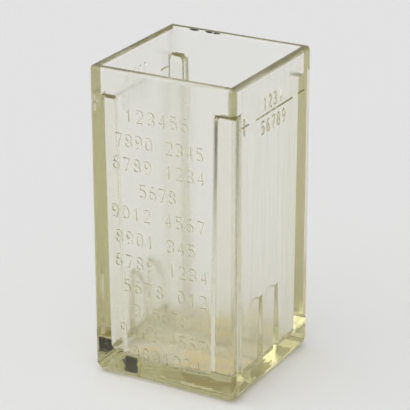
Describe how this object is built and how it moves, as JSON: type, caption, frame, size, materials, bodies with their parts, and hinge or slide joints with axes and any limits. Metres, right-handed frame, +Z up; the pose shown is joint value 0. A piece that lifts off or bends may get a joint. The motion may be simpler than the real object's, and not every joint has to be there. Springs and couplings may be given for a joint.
{
  "type": "wet cell jar",
  "caption": "Square pressed-glass jar of a small wet cell, open at the top, with corner posts, raised plate rests on the floor and raised acid-level lines.",
  "frame": {"origin": "middle of the foot, on the surface that the jar stands on", "axes": "+Z up through the open mouth, -Y towards the face with the raised rows, +X towards a side with a level line"},
  "size_m": [0.0772, 0.076, 0.155],
  "materials": {
    "pressed_glass": "fire-polished, pale yellow-green"
  },
  "bodies": {
    "root": {"jar_shell": "pressed_glass", "corner_post_front_left": "pressed_glass", "corner_post_front_right": "pressed_glass", "corner_post_back_left": "pressed_glass", "corner_post_back_right": "pressed_glass", "plate_rest_front": "pressed_glass", "plate_rest_back": "pressed_glass", "level_line_left": "pressed_glass", "level_line_right": "pressed_glass"}
  },
  "joints": []
}
